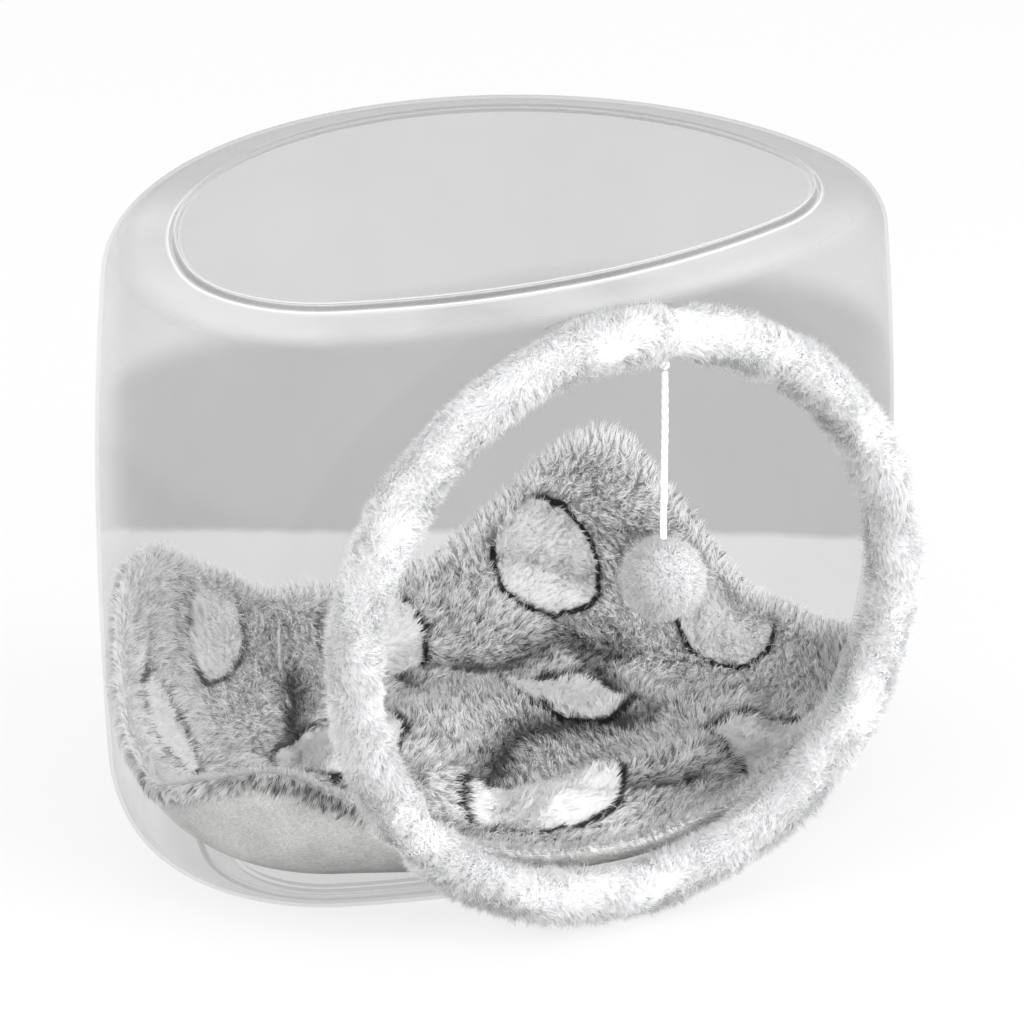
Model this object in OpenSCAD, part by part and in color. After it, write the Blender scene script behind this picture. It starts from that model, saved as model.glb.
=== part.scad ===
// Clear capsule bed for a cat: one moulded shell with a round mouth at the front, a plush ring
// pushed over the lip of the mouth, a toy ball hung from the ring, and a loose plush mat inside.
// +Z is up and -Y is the front. The origin is on the floor, midway between the ball's front
// and the shell's back, and midway between the sides.

/* [Capsule] */
// Width of the capsule at its widest line
body_w = 430; // [400:5:470]
// Depth of the capsule from its front wall to its back wall
body_d = 330; // [300:5:370]
// Height of the capsule over its top panel
body_h = 338; // [336:2:380]
// Thickness of the clear wall
wall = 2; // [1.4:0.1:3]
// Plan radius of the front wall
front_r = 410; // [360:5:520]
// Plan radius of the two side corners
corner_r = 113; // [108:1:124]
// Height of the widest line, as a share of the height
belly_share = 0.56; // [0.45:0.01:0.65]
// How far the wall leans in at the top
top_lean = 7; // [0:0.5:10]
// How far the wall leans in at the base
base_lean = 7; // [0:0.5:9]
// Radius between the wall and the top
shoulder_r = 18; // [12:1:24]
// Radius between the wall and the base
base_r = 44; // [34:1:48]

/* [Panels] */
// Distance of the raised top panel from the widest line
panel_inset = 40; // [36:1:60]
// Height of the raised top panel over the land round it
panel_step = 4; // [2:0.5:6]
// Distance of the standing foot from the widest line
foot_inset = 62; // [59:1:72]
// Height of the foot below the land round it
foot_step = 4; // [2:0.5:6]
// Run of the sloped step round both panels
step_run = 2; // [1:0.5:4]

/* [Mouth] */
// Radius of the neck at the middle of its wall
mouth_r = 153; // [135:1:155]
// Height of the centre of the mouth
mouth_z = 170; // [168:1:174]
// How far the plush ring's centre line stands ahead of the front wall
neck_reach = 9.5; // [6:0.5:20]
// How far the lip of the neck passes the ring's centre line
lip_reach = 4; // [2:0.5:6]
// Radius of the fillet between the neck and the front wall
flare_r = 20; // [12:1:30]
// Width of that fillet outside the neck
flare_w = 8; // [4:0.5:9]

/* [Plush ring] */
// Radius of the foam tube
foam_r = 9.5; // [8:0.5:12]
// Thickness of the fur fabric with its pile
fur_t = 3.7; // [2:0.1:4]
// Free width on each side of the lip in the ring's slot
slot_gap = 0.5; // [0.3:0.1:1]
// Angle of the upper closing seam from the top of the ring
seam_turn = 8.5; // [0:0.5:20]
// Angle of the lower closing seam from the top of the ring
lower_seam_turn = 231; // [180:1:260]
// Thickness of the closing stitches
stitch_d = 1.6; // [1:0.1:2]

/* [Toy] */
// Diameter of the knot under the ring
knot_d = 6; // [5:0.5:8]
// Diameter of the cord
cord_d = 3.5; // [2.5:0.1:4]
// Distance from the knot's centre to the ball's centre
ball_drop = 117; // [100:1:140]
// Diameter of the ball over its pile
ball_d = 44; // [36:1:50]
// Thickness of the ball's plush cover
ball_skin = 4; // [2:0.5:6]

/* [Mat] */
// Height of the mat's highest corner up the wall
mat_rise = 140; // [100:5:160]
// Radius at which the mat bends up where it lies loosest, at the left front corner
mat_bend = 84; // [60:1:88]
// Thickness of the fleece underside
underside_t = 2; // [1:0.5:4]
// Thickness of the wadding
wadding_t = 10; // [6:1:14]
// Thickness of the plush top with its pile
mat_fur_t = 6; // [4:0.5:8]
// Height of the fullest fold in the middle of the mat
fold_h = 22; // [0:1:40]

/* [Hidden] */

// Clearance between pieces that rest on each other
seat_gap = 0.3;
// Further clearance of the mat where it climbs the base radius and the wall
climb_gap = 0.5;
// Overrun of every cut
overrun = 1;

// Steps along the front arc, one corner arc and the back arc of a plan outline
front_steps = 8;
corner_steps = 12;
back_steps = 20;
// Number of steps up the wall between the two radii, and degrees a step round a radius
wall_steps = 8;
radius_step = 15;
neck_facets = 180;
round_facets = 64;

// Radius of the ring over its fur
fur_r = foam_r + seat_gap + fur_t;

// Overall depth from the front of the hanging ball, and where the capsule and the ring lie
depth = body_d + neck_reach + ball_d / 2;
back_y = depth / 2;
front_y = back_y - body_d;
ring_y = front_y - neck_reach;

// Plan outline: a front arc, two corner arcs and a back arc, all tangent to each other
front_c = [0, front_y + front_r];
corner_x = body_w / 2 - corner_r;
corner_y = front_c.y - sqrt(pow(front_r - corner_r, 2) - pow(corner_x, 2));
corner_to_back = back_y - corner_y;
back_r = (pow(corner_x, 2) + pow(corner_to_back, 2) - pow(corner_r, 2))
         / (2 * (corner_to_back - corner_r));
back_c = [0, back_y - back_r];
front_half = atan2(corner_x, front_c.y - corner_y);
back_half = atan2(corner_x, corner_y - back_c.y);
corner_sweep = 180 - front_half - back_half;

// Heights at which the side wall starts and ends, and the height of the widest line
belly_z = body_h * belly_share;
wall_z0 = foot_step + base_r;
wall_z1 = body_h - panel_step - shoulder_r;

// Neck, fillet and lip
neck_out_r = mouth_r + wall / 2;
neck_root_r = neck_out_r + flare_w;
root_sag = front_r - sqrt(pow(front_r, 2) - pow(neck_root_r, 2));
flare_x = neck_out_r + flare_r;
flare_y = front_y + root_sag - sqrt(pow(flare_r, 2) - pow(flare_x - neck_root_r, 2));
neck_back_y = front_y + root_sag + flare_r;
lip_y = ring_y - lip_reach;

// Knot, ball and the line they hang on
knot_path_r = mouth_r - fur_r - seat_gap - knot_d / 2;
knot_x = knot_path_r * sin(seam_turn);
knot_z = mouth_z + knot_path_r * cos(seam_turn);
ball_z = knot_z - ball_drop;

// Route of the cord, from just under the knot to just over the ball
cord_route = [[20, -158.8, 301], [20.2, -158.8, 292], [20.3, -158.8, 283],
              [20.4, -158.8, 274], [20.4, -158.8, 265], [20.3, -158.8, 256],
              [20.3, -158.8, 247], [20.2, -158.8, 238], [20.1, -158.8, 229],
              [20, -158.8, 220], [20, -158.8, 210]];
cord_sides = 8;

// Height of the mat's rim and radius of its bend as shares of mat_rise and mat_bend, one every
// 12 degrees counted from the left, through the front (-90), the right (0) and the back (90)
rim_step = 12;
rim_shares = [0.50, 0.40, 0.54, 0.61, 0.48, 0.28, 0.21, 0.18, 0.17, 0.19, 0.25, 0.46, 0.57, 0.56, 0.48,
              0.42, 0.42, 0.75, 0.97, 0.80, 0.58, 0.44, 0.40, 0.40, 0.45, 0.60, 0.77, 0.88, 0.88, 0.75];
bend_shares = [0.95, 0.97, 0.99, 1.00, 0.99, 0.90, 0.72, 0.56, 0.50, 0.50, 0.50, 0.58, 0.66, 0.70, 0.70,
               0.70, 0.70, 0.70, 0.70, 0.70, 0.70, 0.70, 0.70, 0.72, 0.76, 0.80, 0.84, 0.88, 0.91, 0.93];
// Folds of the mat: both ends as shares of the half width and of the depth from the front wall,
// then height as a share of fold_h and half breadth as a share of body_w
fold_shares = [[-0.47, 0.45, 0.09, 0.63, 0.73, 0.075], [0.14, 0.51, 0.60, 0.42, 0.68, 0.065],
               [-0.09, 0.38, 0.42, 0.43, -0.40, 0.045], [0.00, 0.23, 0.46, 0.29, 0.68, 0.055],
               [-0.65, 0.27, -0.19, 0.36, 0.82, 0.060], [0.10, 0.86, 0.42, 0.72, -0.40, 0.045],
               [-0.42, 0.60, -0.56, 0.79, -0.40, 0.045]];
// Share of the wadding's thickness that the deepest valley between folds leaves
valley_share = 0.5;
// Places of the mat's rings: shares of its floor ring, and shares of the way up to the rim
core_shares = [0.8, 0.6, 0.4, 0.2];
climb_shares = [0.2, 0.4, 0.6, 0.8, 1];
foot_edge = foot_inset + wall + seat_gap;
mat_c = [0, front_y + body_d / 2];
mat_t = 3 * seat_gap + underside_t + wadding_t + mat_fur_t;

// How far the wall leans in at height z
function lean(z) = z > belly_z
  ? top_lean * pow((z - belly_z) / (body_h - belly_z), 2)
  : base_lean * pow((belly_z - z) / belly_z, 2);

function on_arc(c, r, a) = [c.x + r * cos(a), c.y + r * sin(a)];

// Plan outline at an inset from the widest line, anticlockwise from the front left
function plan(inset) = concat(
  [for (i = [0 : front_steps - 1])
    on_arc(front_c, front_r - inset, -90 - front_half + 2 * front_half * i / front_steps)],
  [for (i = [0 : corner_steps - 1])
    on_arc([corner_x, corner_y], corner_r - inset,
           front_half - 90 + corner_sweep * i / corner_steps)],
  [for (i = [0 : back_steps - 1])
    on_arc(back_c, back_r - inset, 90 - back_half + 2 * back_half * i / back_steps)],
  [for (i = [0 : corner_steps - 1])
    on_arc([-corner_x, corner_y], corner_r - inset,
           90 + back_half + corner_sweep * i / corner_steps)]);

// Side profile of the capsule as [inset, height], for a skin that lies t inside the outer one
function side(t) = concat(
  [[foot_inset + step_run + t, t], [foot_inset + t, foot_step + t]],
  [for (a = [0 : radius_step : 90])
    let (r = base_r - t, z = wall_z0 - r * cos(a))
    [t + lean(z) + r * (1 - sin(a)), z]],
  [for (i = [1 : wall_steps - 1])
    let (z = wall_z0 + (wall_z1 - wall_z0) * i / wall_steps)
    [t + lean(z), z]],
  [for (a = [0 : radius_step : 90])
    let (r = shoulder_r - t, z = wall_z1 + r * sin(a))
    [t + lean(z) + r * (1 - cos(a)), z]],
  [[panel_inset + t, body_h - panel_step - t],
   [panel_inset + step_run + t, body_h - t]]);

// Closed solid through a stack of rings with equally many points, capped at both ends. From
// the ring numbered turn_at on, the faces are split along their other diagonal, so that a skin
// that comes back over another is split in the same way
module loft(rings, turn_at = 0) {
  n = len(rings[0]);
  m = len(rings);
  polyhedron(
    points = [for (r = rings) each r],
    faces = concat(
      [[for (i = [0 : n - 1]) i]],
      [for (k = [0 : m - 2]) for (i = [0 : n - 1])
        let (
          j = (i + 1) % n,
          a = k * n + i,
          b = (k + 1) * n + i,
          c = (k + 1) * n + j,
          d = k * n + j)
        each k < turn_at ? [[a, b, c], [a, c, d]] : [[a, b, d], [b, c, d]]],
      [[for (i = [n - 1 : -1 : 0]) (m - 1) * n + i]]));
}

module capsule(t) {
  loft([for (s = side(t)) [for (p = plan(s.x)) [p.x, p.y, s.y]]]);
}

// Turns a profile of radius and distance ahead of the origin about the axis of the mouth
module round_mouth() {
  translate([0, 0, mouth_z]) rotate([90, 0, 0]) rotate_extrude($fn = neck_facets) children();
}

// Neck with its fillet, for a skin that lies t inside the outer one
module neck(t) {
  reach = overrun * min(t, 1);
  round_mouth() difference() {
    translate([0, -neck_back_y]) square([neck_root_r - t, neck_back_y - lip_y + reach]);
    translate([flare_x, -flare_y]) circle(flare_r + t, $fn = round_facets);
    translate([neck_out_r - t, -flare_y]) square([neck_root_r, flare_y - lip_y + 2 * reach]);
  }
}

module shell() {
  color("gainsboro", 0.4) difference() {
    union() {
      capsule(0);
      neck(0);
    }
    capsule(wall);
    neck(wall);
  }
}

// Slot in the back of the ring that the lip of the neck enters
module lip_slot() {
  w = wall + 2 * slot_gap;
  translate([mouth_r - w / 2, -ring_y - fur_r - overrun])
    square([w, fur_r + overrun + lip_reach + slot_gap]);
}

module ring_section(r, d = 0) {
  translate([mouth_r, -ring_y]) difference() {
    circle(r, $fn = round_facets);
    if (d > 0) circle(d, $fn = round_facets);
  }
}

module ring_foam_core() {
  color("lightyellow") round_mouth() difference() {
    ring_section(foam_r);
    lip_slot();
  }
}

// One closing stitch round the ring, at an angle clockwise from the top
module stitch_path(turn, extra = 0) {
  translate([0, 0, mouth_z]) rotate([0, turn, 0]) translate([0, ring_y, mouth_r])
    rotate([0, 90, 0]) rotate_extrude($fn = round_facets)
      translate([fur_r - stitch_d / 2, 0]) circle(stitch_d / 2 + extra, $fn = 24);
}

module ring_plush_sleeve() {
  color("white") difference() {
    round_mouth() difference() {
      ring_section(fur_r, foam_r + seat_gap);
      lip_slot();
    }
    for (turn = [seam_turn, lower_seam_turn]) stitch_path(turn, seat_gap);
  }
}

module ring_seams() {
  color("whitesmoke") difference() {
    for (turn = [seam_turn, lower_seam_turn]) stitch_path(turn);
    round_mouth() lip_slot();
  }
}

module cord_knot() {
  color("white") translate([knot_x, ring_y, knot_z]) sphere(d = knot_d, $fn = round_facets);
}

// Tube of diameter d along a route that runs mostly downwards
module tube(route, d, sides) {
  last = len(route) - 1;
  loft([for (i = [0 : last])
    let (
      t = route[min(i + 1, last)] - route[max(i - 1, 0)],
      across = cross([0, 1, 0], t / norm(t)),
      u = across / norm(across),
      v = cross(t / norm(t), u))
    [for (k = [0 : sides - 1])
      route[i] + d / 2 * (u * cos(360 * k / sides) - v * sin(360 * k / sides))]]);
}

module cord() {
  color("white") tube(cord_route, cord_d, cord_sides);
}

module pompom_cover() {
  color("white") translate([knot_x, ring_y, ball_z]) difference() {
    sphere(d = ball_d, $fn = round_facets);
    sphere(d = ball_d - 2 * ball_skin, $fn = round_facets);
  }
}

module pompom_filling() {
  color("whitesmoke") translate([knot_x, ring_y, ball_z])
    sphere(d = ball_d - 2 * (ball_skin + seat_gap), $fn = round_facets);
}

// Points of the plan's widest line, and the way straight out of the wall at each of them
rim_line = plan(0);
way_out = [for (i = [0 : len(rim_line) - 1]) (rim_line[i] - plan(base_r)[i]) / base_r];

// Value in the direction of a point of the plan, eased between the shares on both sides of it
function around(p, shares) =
  let (
    turn = (atan2(p.y - mat_c.y, p.x - mat_c.x) + 180) / rim_step,
    i = floor(turn),
    n = len(shares),
    ease = (1 - cos(180 * (turn - i))) / 2)
  shares[i % n] * (1 - ease) + shares[(i + 1) % n] * ease;

// Radius at which the mat bends up, never tighter than the capsule's own base radius
function bend_r(p) = max(base_r - wall, mat_bend * around(p, bend_shares));

// Distance of a point from the line between two others
function line_distance(p, a, b) =
  let (share = max(0, min(1, (p - a) * (b - a) / pow(norm(b - a), 2))))
  norm(p - a - share * (b - a));

// Extra fullness of the mat over a point of the plan, kept inside its bend and its wadding
function fold_rise(p, bend) =
  let (
    all = [for (f = fold_shares)
      let (
        a = [f[0] * body_w / 2, front_y + f[1] * body_d],
        b = [f[2] * body_w / 2, front_y + f[3] * body_d])
      f[4] * exp(-pow(line_distance(p, a, b) / (f[5] * body_w), 2))],
    total = fold_h * all * [for (f = fold_shares) 1])
  max(-valley_share * wadding_t, min(bend - mat_t - overrun, total));

// Place of the mat's floor ring at the plan's point i: 0 on the land, 1 in the foot
function flat_point(i, step) =
  let (start = wall + climb_gap + bend_r(rim_line[i]) + base_lean + overrun)
  rim_line[i] - (max(start, foot_edge) + step * (step_run + overrun)) * way_out[i];

// Ring of mat points lying flat, t above the clear shell's inner skin
function flat_ring(step, t, full) = [for (i = [0 : len(rim_line) - 1])
  let (p = flat_point(i, step))
  [p.x, p.y, wall + (1 - step) * foot_step + t + full * fold_rise(p, bend_r(rim_line[i]))]];

// Ring of mat points drawn in towards the centre of the mat
function core_ring(share, t, full) = [for (i = [0 : len(rim_line) - 1])
  let (p = mat_c + share * (flat_point(i, 1) - mat_c))
  [p.x, p.y, wall + t + full * fold_rise(p, bend_r(rim_line[i]))]];

// Ring of mat points part of the way from the start of the bend up to the rim
function climb_ring(share, t, full) = [for (i = [0 : len(rim_line) - 1])
  let (
    o = rim_line[i],
    h = mat_rise * around(o, rim_shares),
    bend = bend_r(o),
    mid_z = foot_step + wall + bend,
    low = acos(max(0, min(1, (mid_z - h) / bend))),
    s = share * (bend * low * PI / 180 + max(0, h - mid_z)),
    a = min(90, s / bend * 180 / PI),
    near = wall + climb_gap + bend * (1 - sin(a)),
    off = t + full * (1 - share) * fold_rise(o - near * way_out[i], bend),
    z = mid_z - (bend - off) * cos(a) + max(0, s - bend * PI / 2),
    p = o - (near + lean(z) + off * sin(a)) * way_out[i])
  [p.x, p.y, z]];

// Skin of the mat as a stack of rings, from its middle out to its rim
function mat_skin(t, full) = concat(
  [for (i = [len(core_shares) - 1 : -1 : 0]) core_ring(core_shares[i], t, full)],
  [flat_ring(1, t, full), flat_ring(0, t, full)],
  [for (share = concat([0], climb_shares)) climb_ring(share, t, full)]);

// Layer of the mat between two skins, each given as its height and its share of the folds
module mat_layer(low, high) {
  up = mat_skin(high[0], high[1]);
  down = mat_skin(low[0], low[1]);
  loft(concat(down, [for (i = [len(up) - 1 : -1 : 0]) up[i]]), len(down));
}

module mat_underside() {
  color("ivory") mat_layer([seat_gap, 0], [seat_gap + underside_t, 0]);
}

module mat_wadding() {
  z = 2 * seat_gap + underside_t;
  color("linen") mat_layer([z, 0], [z + wadding_t, 1]);
}

module mat_top_plush() {
  z = 3 * seat_gap + underside_t + wadding_t;
  color("darkgray") mat_layer([z, 1], [z + mat_fur_t, 1]);
}

shell();
ring_foam_core();
ring_plush_sleeve();
ring_seams();
cord_knot();
cord();
pompom_cover();
pompom_filling();
mat_underside();
mat_wadding();
mat_top_plush();
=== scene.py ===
import bpy
import math
import numpy as np
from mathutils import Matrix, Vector


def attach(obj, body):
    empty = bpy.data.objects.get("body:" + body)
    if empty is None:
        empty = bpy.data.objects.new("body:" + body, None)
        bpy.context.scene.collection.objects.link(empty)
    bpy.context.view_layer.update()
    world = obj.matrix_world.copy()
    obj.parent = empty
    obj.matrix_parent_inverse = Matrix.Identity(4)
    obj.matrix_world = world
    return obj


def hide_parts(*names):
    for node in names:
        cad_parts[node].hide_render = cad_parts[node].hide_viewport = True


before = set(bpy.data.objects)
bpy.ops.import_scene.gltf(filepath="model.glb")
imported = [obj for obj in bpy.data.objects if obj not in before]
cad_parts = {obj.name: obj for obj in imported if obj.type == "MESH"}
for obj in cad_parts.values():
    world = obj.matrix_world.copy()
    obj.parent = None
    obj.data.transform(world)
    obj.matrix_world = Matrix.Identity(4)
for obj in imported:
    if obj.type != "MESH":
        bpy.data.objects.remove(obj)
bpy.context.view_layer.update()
print("frame loaded")


# One object from whole arrays: points (n, 3) and faces (m, 3 or 4), with values per point
def meshPiece(name, points, faceSets, values=None, smooth=True):
    mesh = bpy.data.meshes.new(name)
    faceSets = [np.asarray(f, np.int64) for f in faceSets if len(f)]
    corners = np.concatenate([f.ravel() for f in faceSets])
    sizes = np.concatenate([np.full(len(f), f.shape[1]) for f in faceSets])
    mesh.vertices.add(len(points))
    mesh.vertices.foreach_set("co", np.asarray(points, np.float32).ravel())
    mesh.loops.add(len(corners))
    mesh.loops.foreach_set("vertex_index", corners.astype(np.int32))
    mesh.polygons.add(len(sizes))
    starts = np.concatenate([[0], np.cumsum(sizes)[:-1]])
    mesh.polygons.foreach_set("loop_start", starts.astype(np.int32))
    mesh.polygons.foreach_set("use_smooth", np.full(len(sizes), smooth))
    mesh.update(calc_edges=True)
    for key, data in (values or {}).items():
        data = np.asarray(data, np.float32)
        flat = data.ndim == 1
        layer = mesh.attributes.new(key, "FLOAT" if flat else "FLOAT_VECTOR", "POINT")
        layer.data.foreach_set("value" if flat else "vector", data.ravel())
    piece = bpy.data.objects.new(name, mesh)
    bpy.context.scene.collection.objects.link(piece)
    return piece


# Quads of a grid that closes round, its points row after row: (k, i), (k, i+1), (k+1, i+1), (k+1, i)
def gridQuads(rows, columns, first=0):
    k, i = np.meshgrid(np.arange(rows - 1), np.arange(columns), indexing="ij")
    j = (i + 1) % columns
    quads = np.stack([k * columns + i, k * columns + j, (k + 1) * columns + j, (k + 1) * columns + i], -1)
    return quads.reshape(-1, 4) + first


# A grid whose first and last rows are one point each, as points in one list
def poled(grid):
    return np.concatenate([grid[0, :1], grid[1:-1].reshape(-1, grid.shape[2]), grid[-1, :1]])


# Faces of such a grid: quads between its rows, and a fan of triangles at each end
def poledFaces(rows, columns):
    quads = gridQuads(rows - 2, columns, first=1)
    i = np.arange(columns)
    j = (i + 1) % columns
    first, last = 1 + (rows - 3) * columns, 1 + (rows - 2) * columns
    fans = np.concatenate([np.stack([0 * i, 1 + j, 1 + i], 1),
                           np.stack([first + i, first + j, 0 * i + last], 1)])
    return quads, fans


# Each vector over its own length
def unit(v):
    return v / np.maximum(np.linalg.norm(v, axis=-1, keepdims=True), 1e-12)


# Round tube along a line, with frames turned as little as possible: closed on itself or capped
def tube(name, line, radius, sides, closed, values=None):
    line = np.asarray(line, float)
    count = len(line)
    if closed:
        tangent = unit(np.roll(line, -1, 0) - np.roll(line, 1, 0))
    else:
        tangent = unit(np.gradient(line, axis=0))
    side = np.zeros_like(line)
    side[0] = unit(np.cross(tangent[0], [0.31, 0.52, 0.79]))
    for k in range(1, count):
        side[k] = unit(side[k - 1] - tangent[k] * (side[k - 1] @ tangent[k]))
    other = np.cross(tangent, side)
    a = np.linspace(0, 2 * np.pi, sides, endpoint=False)
    r = np.broadcast_to(np.asarray(radius, float).reshape(-1, 1), (count, 1))[..., None]
    points = (line[:, None] + r * (np.cos(a)[None, :, None] * side[:, None]
                                   + np.sin(a)[None, :, None] * other[:, None])).reshape(-1, 3)
    if closed:
        quads, caps = gridQuads(count + 1, sides) % (count * sides), np.zeros((0, 3), int)
    else:
        quads = gridQuads(count, sides)
        i = np.arange(sides)
        j = (i + 1) % sides
        last = (count - 1) * sides
        caps = np.concatenate([np.stack([j, i, 0 * i + len(points)], 1),
                               np.stack([last + i, last + j, 0 * i + len(points) + 1], 1)])
        points = np.concatenate([points, line[:1], line[-1:]])
    return meshPiece(name, points, [quads, caps], values)


# 0 before low, 1 after high, and the cubic 3t^2 - 2t^3 between
def ease(x, low=0.0, high=1.0):
    t = np.clip((x - low) / (high - low), 0, 1)
    return t * t * (3 - 2 * t)


# One value of a material. Python operators on it add Math nodes
class Term:
    def __init__(self, finish, socket):
        self.finish, self.socket = finish, socket

    def maths(self, operation, first, second=0.0):
        return self.finish.node("ShaderNodeMath", {"operation": operation}, {0: first, 1: second})

    def __add__(self, other):
        return self.maths("ADD", self, other)

    __radd__ = __add__

    def __sub__(self, other):
        return self.maths("SUBTRACT", self, other)

    def __rsub__(self, other):
        return self.maths("SUBTRACT", other, self)

    def __mul__(self, other):
        return self.maths("MULTIPLY", self, other)

    __rmul__ = __mul__

    def __truediv__(self, other):
        return self.maths("DIVIDE", self, other)

    def __pow__(self, other):
        return self.maths("POWER", self, other)

    def call(self, operation, other=0.0):
        return self.maths(operation, self, other)

    def clamp(self):
        return self.call("MAXIMUM", 0.0).call("MINIMUM", 1.0)

    # 0 at low, 1 at high, smooth between
    def ease(self, low, high):
        return self.finish.node("ShaderNodeMapRange", {"interpolation_type": "SMOOTHSTEP"},
                                {"Value": self, "From Min": low, "From Max": high})


# A material or a world being built. node() sets a node's own settings, then its inputs
class Finish:
    def __init__(self, name, owner=None):
        self.owner = owner or bpy.data.materials.new(name)
        self.owner.use_nodes = True
        self.tree = self.owner.node_tree
        self.tree.nodes.clear()

    def node(self, kind, settings=None, inputs=None, output=0):
        made = self.tree.nodes.new(kind)
        for key, value in (settings or {}).items():
            setattr(made, key, value)
        for key, value in (inputs or {}).items():
            if isinstance(value, Term):
                self.tree.links.new(value.socket, made.inputs[key])
            else:
                made.inputs[key].default_value = value
        return Term(self, made.outputs[output])

    def attribute(self, name, output="Fac"):
        return self.node("ShaderNodeAttribute", {"attribute_name": name}, output=output)

    def place(self):
        return self.node("ShaderNodeTexCoord", output="Object")

    def split(self, vector):
        made = self.tree.nodes.new("ShaderNodeSeparateXYZ")
        self.tree.links.new(vector.socket, made.inputs[0])
        return [Term(self, s) for s in made.outputs]

    def noise(self, where, scale, detail=3.0, rough=0.5):
        inputs = {"Vector": where, "Scale": scale, "Detail": detail, "Roughness": rough}
        return self.node("ShaderNodeTexNoise", None, inputs)

    # Colour between two colours by a factor
    def blend(self, factor, first, second):
        return self.node("ShaderNodeMix", {"data_type": "RGBA"},
                         {0: factor, 6: first, 7: second}, output=2)

    def bump(self, height, distance):
        return self.node("ShaderNodeBump", None, {"Height": height, "Distance": distance, "Strength": 1.0})

    def shade(self, inputs):
        return self.node("ShaderNodeBsdfPrincipled", None, inputs)

    def mixShaders(self, factor, first, second):
        return self.node("ShaderNodeMixShader", None, {0: factor, 1: first, 2: second})

    def done(self, surface, kind="ShaderNodeOutputMaterial"):
        made = self.tree.nodes.new(kind)
        self.tree.links.new(surface.socket, made.inputs["Surface"])
        return self.owner


def grey(v):
    return (v, v, v, 1.0)


cameraSettings = {
    "target": (0.0, -0.02325, 0.169), "distance": 4.5, "azimuth": -26.87, "elevation": 24.05,
    "lens": 306.3, "shift": (0.0059, 0.0098),
}


# The camera looks from the target's distance back along the direction of both angles
def makeCamera(settings):
    turn, lift = math.radians(settings["azimuth"]), math.radians(settings["elevation"])
    back = Vector((math.sin(turn) * math.cos(lift), -math.cos(turn) * math.cos(lift), math.sin(lift)))
    data = bpy.data.cameras.new("camera")
    data.lens, data.sensor_width = settings["lens"], 36.0
    data.shift_x, data.shift_y = settings["shift"]
    data.clip_start, data.clip_end = 0.1, 100.0
    camera = bpy.data.objects.new("camera", data)
    camera.location = Vector(settings["target"]) + back * settings["distance"]
    camera.rotation_euler = (-back).to_track_quat("-Z", "Y").to_euler()
    bpy.context.scene.collection.objects.link(camera)
    bpy.context.scene.camera = camera


makeCamera(cameraSettings)


cordSettings = {
    "route": [(0.02, -0.1588, 0.301), (0.0202, -0.1588, 0.292), (0.0203, -0.1588, 0.283),
              (0.0204, -0.1588, 0.274), (0.0204, -0.1588, 0.265), (0.0203, -0.1588, 0.256),
              (0.0203, -0.1588, 0.247), (0.0202, -0.1588, 0.238), (0.0201, -0.1588, 0.229),
              (0.02, -0.1588, 0.220), (0.02, -0.1588, 0.210)],
    "diameter": 0.0035,
    "twistPitch": 0.011, "plies": 2, "dip": 0.12,
    "rings": 240, "sides": 28,
    "knotPlace": (0.02013, -0.15875, 0.3047), "knotReach": 0.0019, "knotYarn": 0.00105, "knotStretch": 1.6,
    "knotSteps": 150, "knotSides": 14,
}


# Tube along the route: point = route(s) + r(s, a) * (cos a, sin a, 0), where r dips between the
# plies, which turn by a full turn each pitch
def makeCord(settings):
    route = np.array(settings["route"])
    steps = np.linalg.norm(np.diff(route, axis=0), axis=1)
    along = np.concatenate([[0], np.cumsum(steps)])
    s = np.linspace(0, along[-1], settings["rings"])
    line = np.stack([np.interp(s, along, route[:, k]) for k in range(3)], 1)
    a = np.linspace(0, 2 * np.pi, settings["sides"], endpoint=False)
    phase = (a[None, :] - 2 * np.pi * s[:, None] / settings["twistPitch"]) * settings["plies"] / 2
    r = settings["diameter"] / 2 * (1 - settings["dip"] * (1 - np.abs(np.cos(phase)) ** 0.7))
    r = np.concatenate([0 * r[:1], r, 0 * r[-1:]])
    line = np.concatenate([line[:1], line, line[-1:]])
    grid = line[:, None] + r[..., None] * np.stack([np.cos(a), np.sin(a), 0 * a], 1)[None]
    quads, fans = poledFaces(len(grid), len(a))
    # ply is low between the plies, where the cord's finish paints shade
    ply = np.abs(np.cos(phase))
    ply = poled(np.concatenate([ply[:1], ply, ply[-1:]])[..., None])[:, 0]
    piece = meshPiece("toy_cord", poled(grid), [quads[:, ::-1], fans[:, ::-1]], {"ply": ply})
    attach(piece, "toy")
    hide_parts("cord")
    return piece


# Trefoil: (sin t + 2 sin 2t, cos t - 2 cos 2t, -stretch * sin 3t) / 3 times the reach, as a closed
# tube
def makeKnot(settings):
    t = np.linspace(0, 2 * np.pi, settings["knotSteps"], endpoint=False)
    line = np.stack([np.sin(t) + 2 * np.sin(2 * t), np.cos(t) - 2 * np.cos(2 * t),
                     -np.sin(3 * t) * settings["knotStretch"]], -1) / 3
    line = np.array(settings["knotPlace"]) + line * settings["knotReach"]
    # ply is low between the plies of the knot's yarn, where the cord's finish paints shade
    ply = np.repeat(np.abs(np.cos(9 * t)), settings["knotSides"])
    piece = tube("toy_knot", line, settings["knotYarn"], settings["knotSides"], True, {"ply": ply})
    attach(piece, "hanger")
    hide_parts("cord_knot")
    return piece


toyCord = makeCord(cordSettings)
toyKnot = makeKnot(cordSettings)
print("camera and cord made")


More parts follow.
